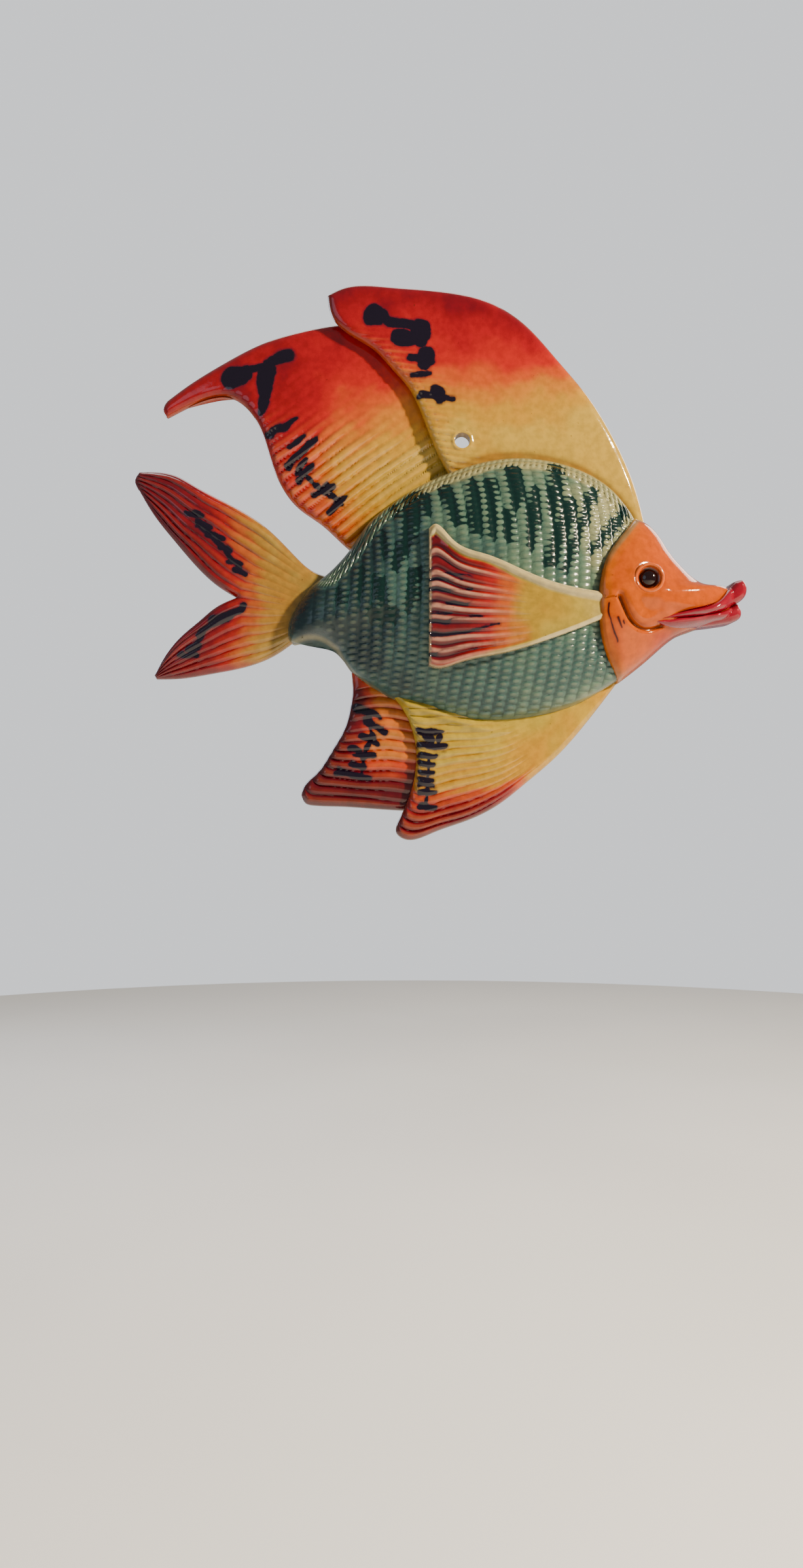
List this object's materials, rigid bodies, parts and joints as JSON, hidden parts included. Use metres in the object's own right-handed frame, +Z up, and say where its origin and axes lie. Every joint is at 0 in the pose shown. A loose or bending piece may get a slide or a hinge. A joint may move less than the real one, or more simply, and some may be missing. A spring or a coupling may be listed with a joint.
{
  "type": "ceramic fish wall plaque",
  "caption": "Hollow glazed ceramic tropical fish relief that hangs on a wall nail through a round hole in its dorsal fin and rests on a ring foot.",
  "frame": {"origin": "on the axis of the hanging hole, in the middle of the fin plate it goes through", "axes": "+X to the fish's nose, +Z up as it hangs, +Y towards the wall; the painted front looks along -Y"},
  "size_m": [0.2198, 0.038, 0.199],
  "materials": {
    "body_scales": "pale sage green and cream glaze with dark green brush strokes",
    "head_orange": "orange airbrushed gloss glaze",
    "dorsal_red_to_yellow": "red gloss glaze fading through orange to yellow, navy brush marks",
    "tail_red_to_yellow": "red gloss glaze fading to yellow at the root, navy brush marks",
    "ventral_red_to_yellow": "crimson gloss glaze fading to olive yellow, navy brush marks",
    "belly_yellow": "yellow gloss glaze with a crimson edge, navy brush marks",
    "pectoral_yellow_to_red": "yellow gloss glaze fading to crimson ribs, navy brush marks",
    "lip_crimson": "crimson gloss glaze",
    "eye_orange": "orange gloss glaze with a brown recess",
    "eye_dark": "glossy dark brown-black glaze",
    "bisque": "matte unglazed cream earthenware"
  },
  "bodies": {
    "root": {"body_shell": "body_scales", "head_shell": "head_orange", "back_shell": "bisque", "front_dorsal_fin": "dorsal_red_to_yellow", "rear_dorsal_fin": "dorsal_red_to_yellow", "tail_upper_lobe": "tail_red_to_yellow", "tail_lower_lobe": "tail_red_to_yellow", "rear_anal_fin": "ventral_red_to_yellow", "belly_fin": "belly_yellow", "pectoral_fin": "pectoral_yellow_to_red", "upper_lip": "lip_crimson", "lower_lip": "lip_crimson", "eye_ring": "eye_orange", "eyeball": "eye_dark"}
  },
  "joints": []
}
